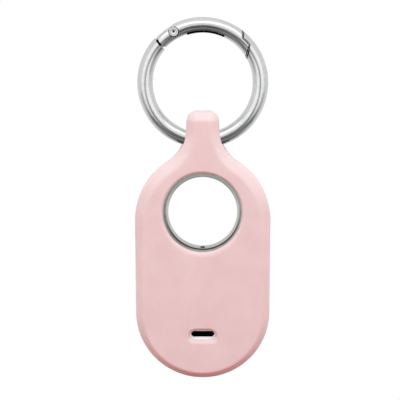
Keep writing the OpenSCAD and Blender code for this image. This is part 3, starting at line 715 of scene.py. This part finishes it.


# Painted shade on the tag's ring: a strip inside the step round its mouth, the narrow part behind,
# the step's edge at the left, and the ejector's hole. Strip and edge go by the distance from the
# step. Down and left are 1 at the bottom and at the left of the hole, and -1 across from there.
STRIP, STRIP_FRONT, STRIP_DOWN = (-0.58, -0.42, -0.22, -0.08), (2.2, 2.6), (-0.35, 0.75)
THROAT_R, THROAT_DOWN, THROAT_SHARE = (9.42, 9.2), (-0.05, -0.8), 0.75
EDGE, EDGE_LEFT, EDGE_SHARE = (-0.12, -0.04, 0.06, 0.16), (0.1, 0.8), 0.5
EJECT_HALF_X, EJECT_HALF_Y, EJECT_DOWN = (0.64, 0.52), (0.8, 0.68), (0.0, 0.5)
# Colour of the painted shade
SHADE_METAL = (0.03, 0.033, 0.03, 1)


def tag_ring_material():
    """Satin steel of the tag's ring, with painted shade in places."""
    n = Material("tag_ring_metal")
    grain = n.noise(2200.0, 4.0, 0.6)
    x, y, z = n.place()
    axis = n.far(x, n.minus(z, HOLE_Z))
    beside = n.minus(axis, MOUTH_STEP_R)
    down = n.over(n.minus(HOLE_Z, z), n.max(axis, 1.0))
    left = n.over(n.times(x, -1.0), n.max(axis, 1.0))

    # Painted shade: the strip, the throat, the step's edge and the ejector's hole, where shade
    # falls in the ring's recesses
    strip = n.times(n.band(beside, *STRIP), n.step(n.times(y, -1.0), *STRIP_FRONT))
    painted_shade = n.times(strip, n.step(down, *STRIP_DOWN))
    throat = n.times(n.step(axis, *THROAT_R), n.step(down, *THROAT_DOWN))
    painted_shade = n.max(painted_shade, n.times(throat, THROAT_SHARE))
    edge = n.times(n.band(beside, *EDGE), n.step(left, *EDGE_LEFT))
    painted_shade = n.max(painted_shade, n.times(edge, EDGE_SHARE))
    bored = n.times(
        n.step(n.abs(x), *EJECT_HALF_X), n.step(n.abs(n.minus(y, EJECT_Y)), *EJECT_HALF_Y)
    )
    painted_shade = n.max(painted_shade, n.times(bored, n.step(down, *EJECT_DOWN)))
    steel = n.tint(grain, srgb(197, 197, 193), srgb(214, 213, 209))
    n.set(
        Base_Color=n.blend(painted_shade, steel, SHADE_METAL),
        Roughness=n.span(grain, 0.26, 0.4),
        Metallic=1.0,
        Normal=n.bump(grain, 0.1, GRIT),
    )
    return n.material


def plastic_material(name, low, high, rough, specular=0.5):
    n = Material(name)
    blotch = n.noise(300.0)
    grain = n.noise(6000.0, 2.0)
    n.set(
        Base_Color=n.tint(blotch, low, high),
        Roughness=n.span(grain, rough - 0.05, rough + 0.06),
        Specular_IOR_Level=specular,
        Normal=n.bump(grain, 0.08, GRIT),
    )
    return n.material


def metal_material(name, low, high, rough, scale=1500.0):
    n = Material(name)
    grain = n.noise(scale, 4.0, 0.6)
    n.set(
        Base_Color=n.tint(grain, low, high),
        Roughness=n.span(grain, rough - 0.07, rough + 0.08),
        Metallic=1.0,
        Normal=n.bump(grain, 0.1, GRIT),
    )
    return n.material


def board_material():
    """Green board: lacquer over fine copper tracks."""
    n = Material("board")
    tracks = n.add(
        "ShaderNodeTexBrick",
        Vector=n.add("ShaderNodeTexCoord").outputs["Object"],
        Color1=srgb(24, 74, 48),
        Color2=srgb(28, 84, 54),
        Mortar=srgb(54, 116, 74),
        Scale=620.0,
        Mortar_Size=0.012,
        Mortar_Smooth=0.2,
        Brick_Width=0.9,
        Row_Height=0.22,
    )
    grain = n.noise(5000.0, 2.0)
    n.set(Base_Color=tracks.outputs["Color"], Roughness=n.span(grain, 0.28, 0.4))
    return n.material


# Darkest and lightest tone, roughness, and the specular level where it isn't the usual one
PLASTICS = {
    "white_plastic": (srgb(247, 249, 250), srgb(250, 252, 253), 0.42),
    "foam": (srgb(38, 38, 40), srgb(58, 58, 60), 0.9),
    "ceramic": (srgb(205, 203, 196), srgb(224, 222, 216), 0.5),
    "chip_plastic": (srgb(18, 18, 20), srgb(34, 34, 37), 0.5),
    "tray_plastic": (srgb(214, 214, 212), srgb(228, 228, 226), 0.46),
    "speaker_cloth": (grey(0.0004), grey(0.0012), 0.9, 0.05),
}
# Darkest and lightest tone, roughness, and the scale of the grain where it isn't the usual one
METALS = {
    "steel": (srgb(150, 152, 155), srgb(182, 184, 187), 0.28),
    "brass_sheet": (srgb(176, 146, 88), srgb(206, 176, 116), 0.3),
    "dome_steel": (srgb(168, 169, 172), srgb(196, 197, 200), 0.22),
    "shield_steel": (srgb(158, 160, 160), srgb(184, 186, 185), 0.36),
    "contact_brass": (srgb(196, 160, 92), srgb(226, 192, 124), 0.28),
    "cell_steel": (srgb(172, 173, 174), srgb(202, 203, 204), 0.3, 900.0),
}
# The material of each CAD node that is kept
FINISH = {
    "ring_body": "chrome",
    "ring_gate": "chrome",
    "gate_rivet": "rivet_metal",
    "spring_plunger": "steel",
    "tag_front_housing": "white_plastic",
    "tag_rear_housing": "white_plastic",
    "tag_ring": "tag_ring_metal",
    "speaker_mesh": "speaker_cloth",
    "speaker_gasket": "foam",
    "piezo_plate": "brass_sheet",
    "piezo_ceramic": "ceramic",
    "button_cap": "white_plastic",
    "circuit_board": "board",
    "shield_can": "shield_steel",
    "board_chips": "chip_plastic",
    "antenna_strip": "contact_brass",
    "battery_tray": "tray_plastic",
    "tray_gasket": "foam",
    "battery_can": "cell_steel",
    "battery_cap": "cell_steel",
    "positive_contact": "contact_brass",
    "negative_contact": "contact_brass",
}
materials = {
    "silicone": silicone_material(),
    "chrome": chrome_material(),
    "rivet_metal": rivet_material(),
    "tag_ring_metal": tag_ring_material(),
    "board": board_material(),
}
materials |= {name: plastic_material(name, *look) for name, look in PLASTICS.items()}
materials |= {name: metal_material(name, *look) for name, look in METALS.items()}

# ------------------------------------------------ the pieces
case = add_piece(
    "silicone_case",
    surface_mesh("silicone_case", silicone_distance, CASE_LOW, CASE_HIGH, GRID),
    "case",
    materials["silicone"],
    ("case_shell", "case_rear_lip"),
)
case.visible_glossy = False
coil = add_piece(
    "gate_coil",
    coil_mesh(),
    "gate",
    materials["steel"],
    ("gate_spring",),
)
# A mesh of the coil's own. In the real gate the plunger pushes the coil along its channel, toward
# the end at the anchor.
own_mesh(coil)
dome = add_piece(
    "snap_dome",
    dome_mesh(),
    "tag",
    materials["dome_steel"],
    ("switch_dome",),
)
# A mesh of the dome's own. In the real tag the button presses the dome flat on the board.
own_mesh(dome)

for node_name, material_name in FINISH.items():
    slots = nodes[node_name].data.materials
    for k in range(len(slots)):
        slots[k] = materials[material_name]
    if not slots:
        slots.append(materials[material_name])

# ------------------------------------------------ camera
# In metres, but for the sensor, which is in millimetres
CAMERA_AT = (-0.0007, 0.0, -0.03008)  # the point in the middle of the picture
CAMERA_FAR = 1.0
CAMERA_ELEVATION = math.radians(4.0)
WIDTH_SEEN = 0.1024
SENSOR = 36.0


def add_camera():
    """A long lens, nearly level with the part."""
    data = bpy.data.cameras.new("camera")
    data.sensor_width = SENSOR
    data.lens = SENSOR * CAMERA_FAR / WIDTH_SEEN
    data.clip_start = 0.05
    data.clip_end = 20.0
    cam = add_object("camera", data)
    cam.location = (
        CAMERA_AT[0],
        CAMERA_AT[1] - CAMERA_FAR * math.cos(CAMERA_ELEVATION),
        CAMERA_AT[2] + CAMERA_FAR * math.sin(CAMERA_ELEVATION),
    )
    cam.rotation_euler = (math.pi / 2 - CAMERA_ELEVATION, 0.0, 0.0)
    bpy.context.scene.camera = cam


# ------------------------------------------------ light
# Brightness of the room in reflections, against elevation in degrees
SKY = [
    (-90.0, 0.2),
    (-70.0, 0.35),
    (-30.0, 0.62),
    (-10.0, 0.72),
    (10.0, 0.8),
    (26.0, 0.78),
    (45.0, 0.74),
    (66.0, 0.84),
    (90.0, 0.88),
]
# Patches on it: azimuth and elevation of the middle, half sizes, softness of the edge, and the
# share of the light that is left there
PATCHES = [
    (0.0, 44.0, 52.0, 17.0, 0.12, 1.8),
    (32.0, 5.0, 20.0, 24.0, 0.4, 1.4),
    (-32.0, 5.0, 20.0, 24.0, 0.4, 1.4),
    (0.0, -12.0, 9.0, 11.0, 0.5, 0.48),
    (0.0, -58.0, 86.0, 37.0, 0.25, 0.3),
    (0.0, -47.0, 80.0, 7.0, 0.5, 1.9),
    (0.0, -21.0, 19.0, 17.0, 0.4, 0.43),
    (62.0, -20.0, 22.0, 10.0, 0.4, 0.72),
    (-62.0, -20.0, 22.0, 10.0, 0.4, 0.72),
    (180.0, -38.0, 90.0, 32.0, 0.35, 1.25),
]
PATCH_POWER = 2.6  # between a round patch and a square one
# Light that soft surfaces gather, against elevation
GATHERED = [
    (-90.0, (0.38, 0.01, 0.008)),
    (-60.0, (0.41, 0.015, 0.012)),
    (-30.0, (0.40, 0.04, 0.03)),
    (-10.0, (0.76, 0.57, 0.57)),
    (10.0, (1.17, 1.13, 1.13)),
    (45.0, (0.73, 0.83, 0.86)),
    (90.0, (0.50, 0.58, 0.62)),
]
FROM_SIDES, FROM_RIGHT = 0.2, 0.09  # how much more of it comes from there
# Behind the part, and above the first elevation here, it is plain instead
BEHIND_Y, BEHIND_ELEVATION = (-0.2, 0.35), (-50.0, -15.0)
PLAIN, PLAIN_RISE = 0.8, 0.0045

# Soft box, in metres: its size, and how far and how high it stands from a point on the axis of z
KEY_SIZE = (0.62, 0.2)
KEY_FAR, KEY_ELEVATION, KEY_Z = 0.28, math.radians(46.0), -0.01
KEY_LIGHT = 1.64
KEY_COLOUR = (0.87, 1.0, 1.02)

# Floor and dome, in metres: radius, and height above the floor
STAGE = [(0.5, 0.0), (2.0, 0.0), (3.2, 0.0), (3.8, 0.2), (4.0, 0.8), (4.0, 2.4)]
STAGE += [(3.2, 3.8), (1.6, 4.8)]
FLOOR_Z = -0.22


def add_world():
    """The room twice: as reflections show it, and as soft surfaces gather light from it."""
    world = bpy.data.worlds.new("studio")
    n = Nodes(world)
    way = n.add("ShaderNodeTexCoord").outputs["Generated"]
    x, y, z = n.add("ShaderNodeSeparateXYZ", Vector=way).outputs
    azimuth = n.times(n.math("ARCTAN2", x, n.times(y, -1.0)), 180 / math.pi)
    elevation = n.times(n.math("ARCSINE", z), 180 / math.pi)
    height = n.add("ShaderNodeMapRange", Value=elevation, From_Min=-90.0, From_Max=90.0)
    height = height.outputs["Result"]

    shown = n.ramp(height, [((at + 90.0) / 180.0, grey(v)) for at, v in SKY])
    for az, el, half_az, half_el, soft, share in PATCHES:
        turned = n.math("WRAP", n.minus(azimuth, az), 180.0, -180.0)
        u = n.abs(n.over(turned, half_az))
        v = n.abs(n.over(n.minus(elevation, el), half_el))
        r = n.plus(n.math("POWER", u, PATCH_POWER), n.math("POWER", v, PATCH_POWER))
        shown = n.times(shown, n.step(n.math("SQRT", r), 1.0 - soft, 1.0 + soft, share))

    gathered = n.ramp(height, [((at + 90.0) / 180.0, (*tone, 1)) for at, tone in GATHERED])
    behind = n.times(n.step(y, *BEHIND_Y), n.step(elevation, *BEHIND_ELEVATION))
    plain = n.plus(n.times(elevation, PLAIN_RISE), PLAIN)
    gathered = n.blend(behind, gathered, plain)
    sides = n.plus(n.times(n.times(x, x), FROM_SIDES), n.times(x, FROM_RIGHT))

    is_diffuse = n.add("ShaderNodeLightPath").outputs["Is Diffuse Ray"]
    both = n.add("ShaderNodeMixShader", Fac=is_diffuse)
    seen = n.add("ShaderNodeBackground", Color=shown, Strength=1.0)
    cast = n.add("ShaderNodeBackground", Color=gathered, Strength=n.plus(sides, 1.0))
    n.put(seen.outputs[0], both.inputs[1])
    n.put(cast.outputs[0], both.inputs[2])
    n.add("ShaderNodeOutputWorld", Surface=both.outputs[0])
    bpy.context.scene.world = world


def add_key_light():
    """A soft box above the front, near enough to fall off down the case."""
    data = bpy.data.lights.new("key", "AREA")
    data.shape = "RECTANGLE"
    data.size, data.size_y = KEY_SIZE
    data.energy = KEY_LIGHT * math.pi * data.size * data.size_y
    data.color = KEY_COLOUR
    key = add_object("key", data)
    rise = KEY_FAR * math.sin(KEY_ELEVATION)
    key.location = (0.0, -KEY_FAR * math.cos(KEY_ELEVATION), KEY_Z + rise)
    key.rotation_euler = (math.pi / 2 - KEY_ELEVATION, 0.0, 0.0)
    key.visible_glossy = False


def add_stage():
    """A pale floor that curves up into a pale dome, which only the camera sees."""
    turns = 48
    verts, faces = [(0.0, 0.0, FLOOR_Z)], []
    for r, h in STAGE:
        for k in range(turns):
            a = 2 * math.pi * k / turns
            verts.append((r * math.cos(a), r * math.sin(a), FLOOR_Z + h))
    for k in range(turns):
        faces.append((0, 1 + k, 1 + (k + 1) % turns))
    for row in range(len(STAGE) - 1):
        for k in range(turns):
            a, b = 1 + row * turns + k, 1 + row * turns + (k + 1) % turns
            faces.append((a, a + turns, b + turns, b))
    top = 1 + (len(STAGE) - 1) * turns
    faces.append(tuple(top + k for k in range(turns)))
    mesh = new_mesh("stage", verts, faces)
    n = Material("stage")
    tone = n.ramp(n.noise(1.5, 1.0), [(0.0, grey(0.985)), (1.0, grey(1))])
    n.set(
        Emission_Color=tone,
        Emission_Strength=1.02,
        Base_Color=grey(0),
        Roughness=1.0,
        Specular_IOR_Level=0.0,
    )
    mesh.materials.append(n.material)
    obj = add_object("stage", mesh)
    obj.visible_diffuse = False
    obj.visible_glossy = False
    obj.visible_transmission = False
    obj.visible_shadow = False


add_camera()
add_world()
add_key_light()
add_stage()
bpy.context.scene.view_settings.view_transform = "Standard"
